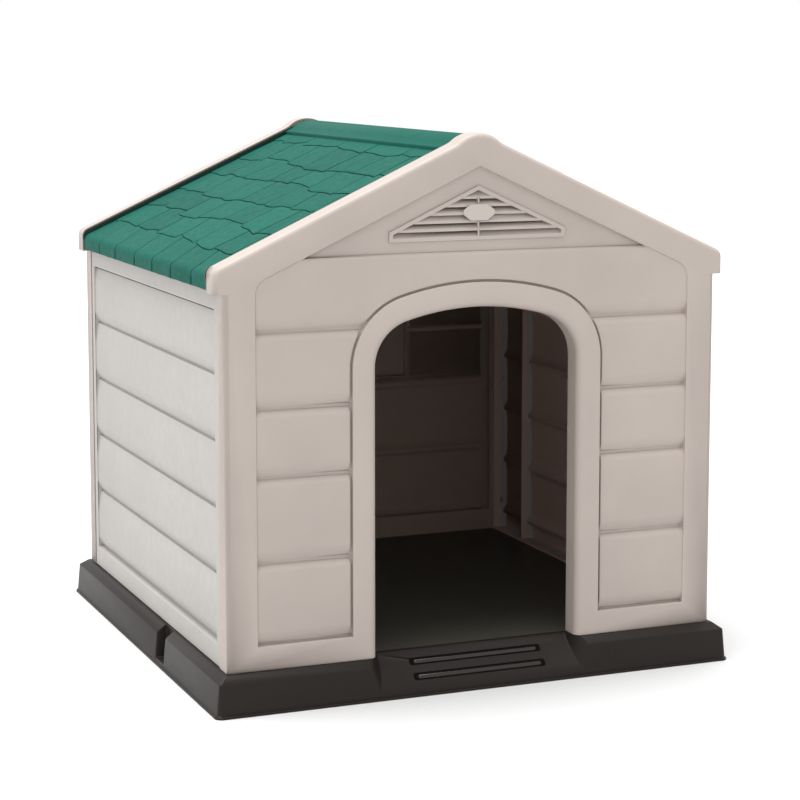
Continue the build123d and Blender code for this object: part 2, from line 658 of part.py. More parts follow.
# ================================================================ louvre and name plate
def louvre():
    """Framed slats that push into a gable wall's window and hook behind its skin."""
    face_y = FRONT_Y + FIELD_DEPTH - VENT_PROUD
    seat_y = FRONT_Y + FIELD_DEPTH
    back_y = seat_y + VENT_SPIGOT
    opening = vent_outline(VENT_RIM + VENT_WALL)
    rim = prism_y(vent_outline() - opening, face_y, seat_y)
    spigot = prism_y(vent_outline(VENT_RIM) - opening, seat_y, back_y)
    inside = prism_y(vent_outline(VENT_RIM + VENT_WALL / 2), face_y, back_y)
    low_y = face_y + SLAT_SETBACK
    high_y = low_y + SLAT_RUN
    grille = box(
        (-MULLION_W / 2, MULLION_W / 2), (face_y + MULLION_SETBACK, back_y),
        (VENT_FOOT_Z + VENT_RIM, PLATE_Z + PLATE_H / 2 + MULLION_OVER_PLATE),
    )
    for k in range(int((VENT_APEX_Z - VENT_FOOT_Z) / SLAT_PITCH)):
        z = VENT_FOOT_Z + VENT_RIM - SLAT_T + k * SLAT_PITCH
        blade = polygon([
            (low_y, z), (low_y, z + SLAT_LIP), (high_y, z + SLAT_LIP + SLAT_RISE),
            (high_y + SLAT_T, z + SLAT_T + SLAT_RISE),
        ])
        grille = grille + prism_x(blade, -VENT_HALF_W, VENT_HALF_W)
    hook_y, hook_z = seat_y + SKIN + FIT_GAP, VENT_FOOT_Z + VENT_RIM
    hook = polygon([
        (hook_y, hook_z), (hook_y, hook_z - VENT_HOOK), (back_y, hook_z),
        (back_y, hook_z + VENT_WALL / 2), (hook_y, hook_z + VENT_WALL / 2),
    ])
    hooks = both_sides(prism_x(hook, VENT_HOOK_X - VENT_HOOK_L / 2, VENT_HOOK_X + VENT_HOOK_L / 2))
    boss = prism_y(plate_outline(PLATE_BOSS_INSET), face_y, face_y + 2 * PEG_L)
    peg_hole = rod_y(PEG_R + PEG_GAP, face_y - 1, face_y + PEG_L + FIT_GAP, PEG_X, PLATE_Z)
    return rim + spigot + (grille & inside) + hooks + boss - both_sides(peg_hole)


def plate_outline(inset=0.0):
    """The name plate: an oval with cut-off corners."""
    half_w, half_h = PLATE_W / 2 - inset, PLATE_H / 2 - inset
    flat_w, flat_h = half_w - PLATE_CLIP - PLATE_CORNER_R, half_h * (1 - 2 * PLATE_CLIP / PLATE_H)
    corners = [(half_w, flat_h), (flat_w, half_h), (-flat_w, half_h), (-half_w, flat_h)]
    lower = [(-x, -z) for x, z in corners]
    face = polygon([(x, PLATE_Z + z) for x, z in corners + lower])
    return fillet(face.vertices(), PLATE_CORNER_R * half_h / PLATE_H * 2)


def name_plate():
    """Blank plate on two pegs."""
    face_y = FRONT_Y + FIELD_DEPTH - VENT_PROUD
    plate = prism_y(plate_outline(), face_y - PLATE_T, face_y)
    plate = fillet(plate.faces().sort_by(Axis.Y)[0].edges(), PLATE_EDGE_R)
    return plate + both_sides(rod_y(PEG_R, face_y - 1, face_y + PEG_L, PEG_X, PLATE_Z))


# ================================================================ roof
def roof_top(x):
    """Height of the roof's plain surface."""
    return rake_z(x, ROOF_BELOW_RIM * UPRIGHT)


def roof_skin():
    """Right half's skin in (x, z): lapped courses, a rounded eave and an upright fascia."""
    foot_z = EAVE_Z + FASCIA_DROP
    ridge_x = RIDGE_FLANGE_X
    courses = []
    length = ROOF_EDGE_X - ridge_x
    for k in range(1, COURSES):
        x = ridge_x + length * k / COURSES
        butt_x, out_x = x + BUTT_RUN, x + COURSE_RUN_OUT
        courses.append((x, roof_top(x)))
        courses.append((butt_x, roof_top(butt_x) - COURSE_STEP))
        courses.append((out_x, roof_top(out_x) - COURSE_SAG))
    under = SKIN * UPRIGHT + COURSE_STEP
    edge = [(ROOF_EDGE_X, roof_top(ROOF_EDGE_X)), (ROOF_EDGE_X, foot_z)]
    top = [(ridge_x, roof_top(ridge_x))] + courses + edge
    in_x = ROOF_EDGE_X - SKIN
    bottom = [(in_x, foot_z), (in_x, roof_top(in_x) - under), (ridge_x, roof_top(ridge_x) - under)]
    face = polygon(top + bottom)
    eave = face.vertices().filter_by(lambda v: abs(v.X - ROOF_EDGE_X) < 0.01 and v.Y > foot_z + 1)
    return fillet(eave, ROOF_EAVE_R)


def roof_half():
    """The right-hand half of the roof."""
    half = prism_y(roof_skin(), -ROOF_HALF_L, ROOF_HALF_L)
    ridge_x, foot_z = RIDGE_FLANGE_X, EAVE_Z + FASCIA_DROP
    depth = ROOF_EDGE_H * UPRIGHT
    mid = SKIN * UPRIGHT
    stop_x = ROOF_EDGE_X - SKIN
    seat_z = SIDE_TOP_Z + SEAT_GAP
    seat_x = (APEX_Z - (ROOF_BELOW_RIM + ROOF_EDGE_H) * UPRIGHT - seat_z) / SLOPE
    top = [(ridge_x, roof_top(ridge_x) - mid), (stop_x + 1, roof_top(stop_x) - mid - COURSE_STEP)]
    outside_x = SIDE_FACE_X + LIFT_GAP
    end_profile = polygon([
        *top, (stop_x + 1, foot_z), (outside_x, foot_z), (outside_x, seat_z), (seat_x, seat_z),
        (ridge_x, roof_top(ridge_x) - depth),
    ])
    for end in (-1, 1):
        low, high = sorted((end * ROOF_HALF_L, end * (ROOF_HALF_L - SKIN)))
        half = half + prism_y(end_profile, low, high)
    rib_x = SIDE_FACE_X - SIDE_DEPTH - CUT_PAST
    rib_profile = polygon([
        *top, (stop_x + 1, seat_z), (rib_x, seat_z), (ridge_x, roof_top(ridge_x) - depth),
    ])
    span = 2 * ROOF_HALF_L
    for k in range(1, ROOF_RIBS + 1):
        y = -ROOF_HALF_L + span * k / (ROOF_RIBS + 1) + SKIN
        half = half + prism_y(rib_profile, y - SKIN / 2, y + SKIN / 2)
    flange_z = roof_top(ridge_x) - RIDGE_FLANGE_H
    flange_height = (flange_z, roof_top(ridge_x) - mid)
    half = half + box((ridge_x, ridge_x + SKIN), (-ROOF_HALF_L, ROOF_HALF_L), flange_height)
    bolt_z = ridge_bolt_z()
    for y in RIDGE_BOLT_Y:
        half = half + rod_x(BOSS_R, 0, ridge_x + 1, y, bolt_z)
    for y in RIDGE_BOLT_Y:
        half = half - rod_x(BOLT_HOLE_R, -1, ridge_x + 2 * SKIN, y, bolt_z)
    return half


def ridge_bolt_z():
    """Height of the ridge bolts' axes."""
    return roof_top(RIDGE_FLANGE_X) - RIDGE_FLANGE_H + BOSS_R + BOSS_UP


def ridge_cap():
    """Rounded cap over the ridge, with barbed clips between the two ridge flanges."""
    roll = Pos(0, HUMP_Z) * Circle(HUMP_R - CAP_UNDER_HUMP)
    raised, edge_z = CAP_T * UPRIGHT, roof_top(CAP_HALF_W)
    wings = polygon([
        (-CAP_HALF_W, edge_z), (-CAP_HALF_W, edge_z + raised), (0, roof_top(0) + raised),
        (CAP_HALF_W, edge_z + raised), (CAP_HALF_W, edge_z), (0, roof_top(0)),
    ])
    lift = SEAT_GAP * UPRIGHT / 2
    below = polygon([
        (-EAVE_X, roof_top(EAVE_X) + lift), (0, roof_top(0) + lift), (EAVE_X, roof_top(EAVE_X) + lift),
        (EAVE_X, 0), (-EAVE_X, 0),
    ])
    cap = prism_y((roll + wings) - below, -ROOF_HALF_L, ROOF_HALF_L)
    foot_z = roof_top(RIDGE_FLANGE_X) - RIDGE_FLANGE_H
    half, barb = RIDGE_CLIP_T / 2, RIDGE_CLIP_T / 2 + RIDGE_CLIP_BARB
    root_z, hook_z = roof_top(0) + CAP_T / 2, foot_z - SEAT_GAP
    nose_z = hook_z - RIDGE_CLIP_NOSE
    clip = polygon([
        (-half, root_z), (-half, hook_z), (-barb, hook_z), (-half, nose_z),
        (half, nose_z), (barb, hook_z), (half, hook_z), (half, root_z),
    ])
    for y in RIDGE_CLIP_Y:
        cap = cap + prism_y(clip, y - RIDGE_CLIP_L / 2, y + RIDGE_CLIP_L / 2)
    return cap


# ================================================================ fasteners
def pan_head_screw(length):
    """Cross-recessed screw along +Z, its head's underside at the origin and its shank below."""
    head = Pos(0, 0, SCREW_HEAD_H / 2) * Cylinder(SCREW_HEAD_R, SCREW_HEAD_H)
    head = fillet(head.edges().sort_by(Axis.Z)[-1], SCREW_HEAD_H * 0.45)
    for turn in (0, 90):
        slot = Rot(0, 0, turn) * Box(SCREW_HEAD_R, SCREW_SLOT_W, 2 * SCREW_SLOT_DEPTH)
        head = head - Pos(0, 0, SCREW_HEAD_H) * slot
    shank = Pos(0, 0, -(length - SCREW_R) / 2) * Cylinder(SCREW_R, length - SCREW_R)
    tip = Pos(0, 0, -length + SCREW_R / 2) * Cone(0.3, SCREW_R, SCREW_R)
    return head + shank + tip


def corner_screws():
    """Screws that hold the side walls to both gable walls, driven from inside."""
    screw = pan_head_screw(SCREW_L)
    seat_y = SIDE_HALF_L - SKIN
    found = []
    for x, z in corner_screw_places():
        found.append(Pos(x, -seat_y, z) * (Rot(-90, 0, 0) * screw))
        found.append(Pos(x, seat_y, z) * (Rot(90, 0, 0) * screw))
    return Compound(children=found)


def ridge_bolts():
    """Bolts that clamp the roof halves' ridge flanges."""
    outer = RIDGE_FLANGE_X + SKIN
    z = ridge_bolt_z()
    found = []
    for y in RIDGE_BOLT_Y:
        head = rod_x(SCREW_HEAD_R, -outer - SCREW_HEAD_H, -outer, y, z)
        shank = rod_x(BOLT_R, -outer - 1, outer + NUT_H + BOLT_PAST_NUT, y, z)
        found.append(head + shank)
    return Compound(children=found)


def ridge_nuts():
    """Hexagon nuts on the ridge bolts."""
    outer = RIDGE_FLANGE_X + SKIN
    hexagon = RegularPolygon(NUT_FLATS / 2, 6, major_radius=False)
    nut = extrude(hexagon - Circle(BOLT_HOLE_R), amount=NUT_H)
    return Compound(children=[Pos(outer, y, ridge_bolt_z()) * (Rot(0, 90, 0) * nut) for y in RIDGE_BOLT_Y])


# ================================================================ build
def build():
    right_wall = side_wall()
    right_roof = roof_half()
    front_louvre = louvre()
    return {
        "base_tray": tray(),
        "front_wall": front_wall(),
        "rear_wall": rear_wall(),
        "right_wall": right_wall,
        "left_wall": mirror(right_wall, about=Plane.YZ),
        "front_louvre": front_louvre,
        "rear_louvre": turned(front_louvre),
        "name_plate": name_plate(),
        "roof_right": right_roof,
        "roof_left": mirror(right_roof, about=Plane.YZ),
        "ridge_cap": ridge_cap(),
        "corner_screws": corner_screws(),
        "ridge_bolts": ridge_bolts(),
        "ridge_nuts": ridge_nuts(),
    }


if __name__ == "__main__":
    os.makedirs("parts", exist_ok=True)
    for node, shape in build().items():
        export_step(shape, f"parts/{node}.step")
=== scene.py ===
from math import cos, radians, sin, tan

import bmesh
import bpy
from bpy.props import FloatProperty, FloatVectorProperty, IntProperty, PointerProperty
from mathutils import Euler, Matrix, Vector, noise


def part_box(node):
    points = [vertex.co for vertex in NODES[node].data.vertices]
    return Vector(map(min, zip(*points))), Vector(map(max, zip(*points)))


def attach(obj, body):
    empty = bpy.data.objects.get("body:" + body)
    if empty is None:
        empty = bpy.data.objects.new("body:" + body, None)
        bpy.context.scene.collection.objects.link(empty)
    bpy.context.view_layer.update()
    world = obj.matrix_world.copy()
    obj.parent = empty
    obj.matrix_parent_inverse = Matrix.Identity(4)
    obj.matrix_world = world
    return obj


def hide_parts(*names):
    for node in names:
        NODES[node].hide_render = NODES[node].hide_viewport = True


bl_info = {
    "name": "Moulded Animal Hutch",
    "version": (1, 0, 0),
    "blender": (4, 5, 0),
    "location": "View3D > Sidebar > Hutch",
    "description": "Finishes a snap-together moulded hutch around its packed parts",
    "category": "Add Mesh",
}

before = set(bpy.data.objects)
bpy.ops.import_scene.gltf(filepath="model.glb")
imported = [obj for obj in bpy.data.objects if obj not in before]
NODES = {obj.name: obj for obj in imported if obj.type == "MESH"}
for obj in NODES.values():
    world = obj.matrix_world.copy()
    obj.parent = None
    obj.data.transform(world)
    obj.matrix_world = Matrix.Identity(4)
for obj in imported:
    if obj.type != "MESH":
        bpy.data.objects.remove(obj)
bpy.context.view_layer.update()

# How far behind the roof's front end each course of slates is jointed, in metres, from the ridge to the eave.
SLATE_JOINTS = (
    (0.118, 0.262, 0.395, 0.548, 0.655),
    (0.062, 0.157, 0.265, 0.374, 0.467, 0.588, 0.680),
    (0.095, 0.207, 0.312, 0.402, 0.517, 0.612),
    (0.048, 0.142, 0.245, 0.365, 0.457, 0.565, 0.675),
    (0.092, 0.192, 0.292, 0.400, 0.495, 0.617),
    (0.045, 0.135, 0.243, 0.342, 0.449, 0.572, 0.690),
    (0.078, 0.182, 0.287, 0.389, 0.502, 0.607),
)


# Middles of the two grip bars across the ramp, as (y, z) in metres.
GRIPS = ((-0.3813, 0.0434), (-0.4001, 0.0251))


# ================================================================ sizes and colours
class HutchColours(bpy.types.PropertyGroup):
    """Resin colours, scene linear."""
    gable: FloatVectorProperty(
        name="Gable walls", description="Beige resin of the gable walls and louvres", subtype="COLOR",
        default=(0.405, 0.350, 0.316), min=0, max=1)
    side: FloatVectorProperty(
        name="Side walls", description="Ivory resin of the side walls", subtype="COLOR",
        default=(0.372, 0.354, 0.335), min=0, max=1)
    roof: FloatVectorProperty(
        name="Roof", description="Green resin of the slates and the ridge cap", subtype="COLOR",
        default=(0.009, 0.087, 0.064), min=0, max=1)
    base: FloatVectorProperty(
        name="Base", description="Charcoal resin of the base tray", subtype="COLOR",
        default=(0.0125, 0.0088, 0.0073), min=0, max=1)
    plate: FloatVectorProperty(
        name="Name plate", description="Lighter beige resin of the blank plate", subtype="COLOR",
        default=(0.450, 0.400, 0.360), min=0, max=1)
    zinc: FloatVectorProperty(
        name="Zinc", description="Zinc plate on the screws, bolts and nuts", subtype="COLOR",
        default=(0.62, 0.62, 0.60), min=0, max=1)
    floor: FloatVectorProperty(
        name="Floor", description="Plain studio floor", subtype="COLOR", default=(0.62, 0.62, 0.62), min=0,
        max=1)


class HutchSizes(bpy.types.PropertyGroup):
    """Sizes of the soft moulded edges and of the slates."""
    wall_edge: FloatProperty(
        name="Wall edge", description="Radius of the walls' moulded edges", unit="LENGTH", default=0.0016)
    tray_edge: FloatProperty(
        name="Tray edge", description="Radius of the tray's moulded edges", unit="LENGTH", default=0.0018)
    trim_edge: FloatProperty(
        name="Trim edge", description="Radius of the louvres' and cap's edges", unit="LENGTH",
        default=0.0006)
    gable_relief: FloatProperty(
        name="Gable relief", description="Depth over which a gable's edges are rounded", unit="LENGTH",
        default=0.022)
    side_relief: FloatProperty(
        name="Side relief", description="Depth over which a side wall's edges are rounded", unit="LENGTH",
        default=0.016)
    rim_side: FloatProperty(
        name="Rim side", description="Width of a gable's side rims, left as moulded", unit="LENGTH",
        default=0.04)
    rim_rake: FloatProperty(
        name="Rim rake", description="Height of a gable's rakes, left as moulded", unit="LENGTH",
        default=0.035)
    # From this depth under a side wall's face, the cabin's side gets painted interior shading.
    interior_shading_depth: FloatProperty(
        name="Stain depth", description="How far under a side wall's face the cabin's stain starts",
        unit="LENGTH", default=0.0145)
    roof_pitch: FloatProperty(
        name="Roof pitch", description="Slope of the roof halves", unit="ROTATION", default=radians(24.7))
    ridge_gap: FloatProperty(
        name="Ridge gap", description="From the middle plane to a roof half's skin", unit="LENGTH",
        default=0.004)
    eave_radius: FloatProperty(
        name="Eave radius", description="Radius over which the roof turns down at the eave", unit="LENGTH",
        default=0.009)
    slate_proud: FloatProperty(
        name="Slate proud", description="Height of a slate's lower edge above the roof's skin",
        unit="LENGTH", default=0.0029)
    slate_sunk: FloatProperty(
        name="Slate sunk", description="Height of a slate's upper edge above the roof's skin",
        unit="LENGTH", default=0.0020)
    slate_depth: FloatProperty(
        name="Slate depth", description="Full thickness of a slate, most of it in the skin", unit="LENGTH",
        default=0.0048)
    slate_joint: FloatProperty(
        name="Slate joint", description="Width of the groove between two slates of a course", unit="LENGTH",
        default=0.0030)
    slate_lap: FloatProperty(
        name="Slate lap", description="How far a slate runs under the course above", unit="LENGTH",
        default=0.005)
    eave_part: FloatProperty(
        name="Eave part", description="Share of the last course's slates that is above the eave's turn",
        default=0.62, min=0.1, max=1)
    eave_lean: FloatProperty(
        name="Eave lean", description="How far the last course's joints lean back above the eave's turn",
        unit="LENGTH", default=0.030)
    course_drop: FloatProperty(
        name="Course drop", description="How far every course's lower edge hangs below its even spacing",
        unit="LENGTH", default=0.0032)
    slate_groove: FloatProperty(
        name="Slate groove", description="Width of the groove along the lower edge of the course above",
        unit="LENGTH", default=0.0014)
    slate_dip: FloatProperty(
        name="Slate dip", description="Depth of the groove along the lower edge of the course above",
        unit="LENGTH", default=0.0014)
    slate_edge: FloatProperty(
        name="Slate edge", description="Radius of a slate's worn top edge", unit="LENGTH", default=0.0007)
    slate_corner: FloatProperty(
        name="Slate corner", description="Largest cut at a slate's lower corners", unit="LENGTH",
        default=0.0055)
    slate_wave: FloatProperty(
        name="Slate wave", description="How far a course's lower edge wanders", unit="LENGTH",
        default=0.0110)
    slate_step: FloatProperty(
        name="Slate step", description="How far one slate's lower edge may stand off its neighbour's",
        unit="LENGTH", default=0.0130)
    slate_lean: FloatProperty(
        name="Slate lean", description="How far a joint leans over one course", unit="LENGTH", default=0.030)
    slate_columns: IntProperty(
        name="Slate columns", description="Grid faces across a slate", default=22, min=2, max=40)
    slate_rows: IntProperty(
        name="Slate rows", description="Grid faces down a slate", default=8, min=2, max=40)
    eave_rows: IntProperty(
        name="Eave rows", description="Grid faces down a slate that turns over the eave", default=22, min=8,
        max=60)
    lip_width: FloatProperty(
        name="End lip width", description="Width of the lip along each end of a roof half", unit="LENGTH",
        default=0.0055)
    lip_inset: FloatProperty(
        name="End lip inset", description="From the roof's end to that lip", unit="LENGTH", default=0.0004)
    lip_gap: FloatProperty(
        name="End lip gap", description="From that lip to the slates", unit="LENGTH", default=0.0002)
    lip_sunk: FloatProperty(
        name="End lip sunk", description="Depth of that lip under the roof's skin", unit="LENGTH",
        default=0.001)
    lip_foot: FloatProperty(
        name="End lip foot", description="From the fascia's foot to that lip's end", unit="LENGTH",
        default=0.0008)
    lip_height: FloatProperty(
        name="End lip height", description="Height of that lip above the roof's skin", unit="LENGTH",
        default=0.0102)
    lip_eave: FloatProperty(
        name="End lip at the eave", description="Height of that lip on the fascia", unit="LENGTH",
        default=0.0036)


class HutchGrips(bpy.types.PropertyGroup):
    """Sizes of the ramp's two grips."""
    radius: FloatProperty(
        name="Grip radius", description="Radius of a grip bar", unit="LENGTH", default=0.0047)
    half: FloatProperty(
        name="Grip half length", description="From a bar's middle to where its end starts", unit="LENGTH",
        default=0.0985)
    slope: FloatProperty(
        name="Ramp slope", description="Slope of the ramp", unit="ROTATION", default=radians(44.4))
    pad_extra: FloatProperty(
        name="Pad extra", description="How much longer a pad is than the straight of its bar", unit="LENGTH",
        default=0.021)
    pad_depth: FloatProperty(name="Pad depth", description="Thickness of a pad", unit="LENGTH", default=0.002)
    pad_corner: FloatProperty(
        name="Pad corner", description="Radius of a pad's corners", unit="LENGTH", default=0.0035)
    pad_width: FloatProperty(
        name="Pad width", description="Width of the pad under a bar", unit="LENGTH", default=0.0125)
    pad_rise: FloatProperty(
        name="Pad rise", description="Height of the pad above the ramp", unit="LENGTH", default=0.0004)
    sunk: FloatProperty(
        name="Bar sunk", description="How far a bar's middle is under the ramp", unit="LENGTH",
        default=0.0018)


class HutchStage(bpy.types.PropertyGroup):
    """Camera and studio."""
    camera_place: FloatVectorProperty(
        name="Camera place", description="Where the camera stands", subtype="TRANSLATION", unit="LENGTH",
        default=(-1.3488, -3.3766, 0.9627))
    camera_turn: FloatProperty(
        name="Camera turn", description="Camera's turn about the upright", unit="ROTATION",
        default=radians(-22.25))
    camera_dip: FloatProperty(
        name="Camera dip", description="Camera's tilt below level", unit="ROTATION", default=radians(7.02))
    camera_shift: FloatProperty(name="Camera shift", description="Upright shift of the lens", default=-0.10)
    lens: FloatProperty(name="Lens", description="Focal length in millimetres", default=99.41)
    key_power: FloatProperty(name="Key power", description="Watts of the big front light", default=10.0)
    side_power: FloatProperty(name="Side power", description="Watts of the left light", default=10.0)
    top_strength: FloatProperty(
        name="Top strength", description="Strength of the wide overhead light", default=4.1)
    top_spread: FloatProperty(
        name="Top spread", description="Width of the overhead light's disc", unit="ROTATION",
        default=radians(50))
    sky: FloatProperty(name="Sky", description="Strength of the surrounding light", default=1.0)


# ================================================================ materials
class Finish:
    """A node material that is put together one node at a time."""

    def __init__(self, name):
        self.material = bpy.data.materials.new(name)
        self.material.use_nodes = True
        self.tree = self.material.node_tree
        self.tree.nodes.clear()
        self.output = self.node("ShaderNodeOutputMaterial")
        self.shader = self.node("ShaderNodeBsdfPrincipled")
        self.link(self.shader, "BSDF", self.output, "Surface")
        self.place = self.node("ShaderNodeTexCoord")

    def node(self, kind, **settings):
        made = self.tree.nodes.new(kind)
        for key, value in settings.items():
            setattr(made, key, value)
        return made

    def link(self, source, out, target, into):
        self.tree.links.new(source.outputs[out], target.inputs[into])

    def noise(self, scale, detail=2.0, stretch=(1, 1, 1), seed=0.0):
        """Noise over the piece's own coordinates, with so many features to a metre."""
        mapping = self.node("ShaderNodeMapping")
        mapping.inputs["Scale"].default_value = stretch
        mapping.inputs["Location"].default_value = (seed, seed * 1.7, seed * 0.6)
        self.link(self.place, "Object", mapping, "Vector")
        made = self.node("ShaderNodeTexNoise")
        made.inputs["Scale"].default_value = scale
        made.inputs["Detail"].default_value = detail
        self.link(mapping, "Vector", made, "Vector")
        return made

    def ramp(self, source, out, low, high, to_low=0.0, to_high=1.0):
        """Source's value from low..high to to_low..to_high, kept within them."""
        made = self.node("ShaderNodeMapRange")
        made.inputs["From Min"].default_value = low
        made.inputs["From Max"].default_value = high
        made.inputs["To Min"].default_value = to_low
        made.inputs["To Max"].default_value = to_high
        self.link(source, out, made, "Value")
        return made

    def mix(self, factor, first, second):
        """Mixed colour; each of first and second is a colour or a (node, output) pair."""
        made = self.node("ShaderNodeMix", data_type="RGBA")
        self.link(*factor, made, "Factor")
        for name, value in (("A", first), ("B", second)):
            socket = next(s for s in made.inputs if s.name == name and s.type == "RGBA")
            if isinstance(value[0], bpy.types.Node):
                out = value[0].outputs[value[1]]
                if value[0].type == "MIX":
                    out = next(s for s in value[0].outputs if s.type == "RGBA")
                self.tree.links.new(out, socket)
            else:
                socket.default_value = (*value, 1)
        return made, "Result"

    def colour(self, mixed):
        out = next(s for s in mixed[0].outputs if s.type == "RGBA")
        self.tree.links.new(out, self.shader.inputs["Base Color"])

    def relief(self, layers):
        """Bumps in a row; each layer is (noise node, depth in metres)."""
        before = None
        for source, depth in layers:
            bump = self.node("ShaderNodeBump")
            bump.inputs["Strength"].default_value = 1.0
            bump.inputs["Distance"].default_value = depth
            self.link(source, "Fac", bump, "Height")
            if before:
                self.link(before, "Normal", bump, "Normal")
            before = bump
        self.link(before, "Normal", self.shader, "Normal")
        return before

    def facing(self, way):
        """1 on faces that look that way, 0 elsewhere."""
        made = self.node("ShaderNodeVectorMath", operation="DOT_PRODUCT")
        made.inputs[1].default_value = way
        self.link(self.place, "Normal", made, 0)
        return self.ramp(made, "Value", 0.2, 0.6)

    def near_middle(self, limits):
        """1 where every named coordinate is closer to the middle than its limit, 0 elsewhere."""
        size = self.node("ShaderNodeVectorMath", operation="ABSOLUTE")
        self.link(self.place, "Object", size, 0)
        part = self.node("ShaderNodeSeparateXYZ")
        self.link(size, "Vector", part, "Vector")
        inside = None
        for axis, limit in limits:
            mask = self.ramp(part, axis, limit, limit - 0.002)
            if inside:
                self.link(inside, "Result", mask, "To Max")
            inside = mask
        return inside

    def crevice(self, reach):
        """0 in corners and grooves, 1 on open faces."""
        made = self.node("ShaderNodeAmbientOcclusion", samples=6)
        made.inputs["Distance"].default_value = reach
        return made


def shade(colour, factor):
    return tuple(min(1.0, channel * factor) for channel in colour)


def moulded_resin(
        name, colour, gloss=0.46, mottle=0.05, edge_highlight=1.10, crevice_shade=0.82, reach=0.008, grain=0.00009,
        ripple=0.0003, patches=0.05, inward=None, interior_shading=(0.70, 0.60, 0.53), within=None, specular=0.35):
    """Injection-moulded resin: satin, faintly mottled, fine grain, painted highlight on edges, painted shade
    in corners.

    The cabin's side gets painted light and shade, the colour scaled channel by channel: what looks in the
    direction inward, and what is closer to the middle than within, a few axes and distances."""
    finish = Finish(name)
    clouds = finish.noise(7.0, 4.0)
    cloud = finish.ramp(clouds, "Fac", 0.3, 0.7)
    body = finish.mix((cloud, "Result"), shade(colour, 1 - mottle), shade(colour, 1 + mottle * 0.6))
    flow = finish.noise(22.0, 3.0, stretch=(1, 1, 0.12), seed=3.0)
    streak = finish.ramp(flow, "Fac", 0.56, 0.78, 0.0, 0.12)
    body = finish.mix((streak, "Result"), body, shade(colour, 1 - 1.6 * mottle))
    # Painted shade: darker in corners, grooves and recesses, found by ambient occlusion.
    corner = finish.crevice(reach)
    painted_crevice_mask = finish.ramp(corner, "AO", 0.30, 0.85, 1.0, 0.0)
    body = finish.mix((painted_crevice_mask, "Result"), body, shade(colour, crevice_shade))
    # Painted highlight: paler along rounded edges, found from the bevel normal.
    bevel = finish.node("ShaderNodeBevel", samples=4)
    bevel.inputs["Radius"].default_value = 0.0022
    surface = finish.node("ShaderNodeNewGeometry")
    facing = finish.node("ShaderNodeVectorMath", operation="DOT_PRODUCT")
    finish.link(bevel, "Normal", facing, 0)
    finish.link(surface, "Normal", facing, 1)
    edge = finish.ramp(facing, "Value", 0.985, 0.90, 0.0, 0.55)
    body = finish.mix((edge, "Result"), body, shade(colour, edge_highlight))
    # Painted interior light and shade: the colour scaled per channel on faces looking inward and on what lies
    # within the limits.
    painted_shading = tuple(channel * part for channel, part in zip(colour, interior_shading))
    if inward:
        body = finish.mix((finish.facing(inward), "Result"), body, painted_shading)
    if within:
        body = finish.mix((finish.near_middle(within), "Result"), body, painted_shading)
    finish.colour(body)
    fine = finish.noise(1500.0, 2.0)
    waves = finish.noise(38.0, 2.0, seed=5.0)
    finish.relief([(waves, ripple), (fine, grain)])
    patch = finish.noise(60.0, 3.0, seed=8.0)
    sheen = finish.ramp(patch, "Fac", 0.3, 0.7, gloss - patches, gloss + patches)
    finish.link(sheen, "Result", finish.shader, "Roughness")
    finish.shader.inputs["Specular IOR Level"].default_value = specular
    return finish.material


def slate_resin(name, colour):
    """Green resin with a riven slate face: every slate its own tone, painted shade in the joints, edges
    rounded by wear.
    """
    finish = Finish(name)
    tone = finish.node("ShaderNodeAttribute", attribute_name="tone")
    body = finish.mix((tone, "Fac"), shade(colour, 0.84), shade(colour, 1.16))
    clouds = finish.noise(45.0, 5.0)
    cloud = finish.ramp(clouds, "Fac", 0.35, 0.68, 0.0, 0.5)
    body = finish.mix((cloud, "Result"), body, shade(colour, 1.22))
    # Painted shade: joints and the steps between courses darkened by ambient occlusion.
    corner = finish.crevice(0.006)
    painted_shading = finish.ramp(corner, "AO", 0.30, 0.80, 1.0, 0.0)
    body = finish.mix((painted_shading, "Result"), body, shade(colour, 0.22))
    finish.colour(body)
    riven = finish.noise(70.0, 6.0, stretch=(1, 0.6, 1), seed=2.0)
    fine = finish.noise(900.0, 2.0)
    finish.relief([(riven, 0.0009), (fine, 0.00012)])
    patch = finish.noise(120.0, 3.0, seed=8.0)
    sheen = finish.ramp(patch, "Fac", 0.3, 0.7, 0.46, 0.62)
    finish.link(sheen, "Result", finish.shader, "Roughness")
    finish.shader.inputs["Specular IOR Level"].default_value = 0.03
    return finish.material


def zinc_plate(name, colour):
    """Bright zinc: metal, brushed by tumbling, with dull patches."""
    finish = Finish(name)
    clouds = finish.noise(420.0, 3.0)
    cloud = finish.ramp(clouds, "Fac", 0.3, 0.7)
    finish.colour(finish.mix((cloud, "Result"), shade(colour, 0.8), colour))
    finish.link(finish.ramp(clouds, "Fac", 0.3, 0.7, 0.42, 0.26), "Result", finish.shader, "Roughness")
    finish.shader.inputs["Metallic"].default_value = 1.0
    finish.relief([(finish.noise(3000.0), 0.00003)])
    return finish.material


def studio_floor(name, colour):
    finish = Finish(name)
    clouds = finish.noise(1.5, 2.0)
    cloud = finish.ramp(clouds, "Fac", 0.3, 0.7)
    finish.colour(finish.mix((cloud, "Result"), shade(colour, 0.99), colour))
    finish.shader.inputs["Roughness"].default_value = 0.9
    finish.shader.inputs["Specular IOR Level"].default_value = 0.1
    return finish.material


def paint(piece, material):
    piece.data.materials.clear()
    piece.data.materials.append(material)


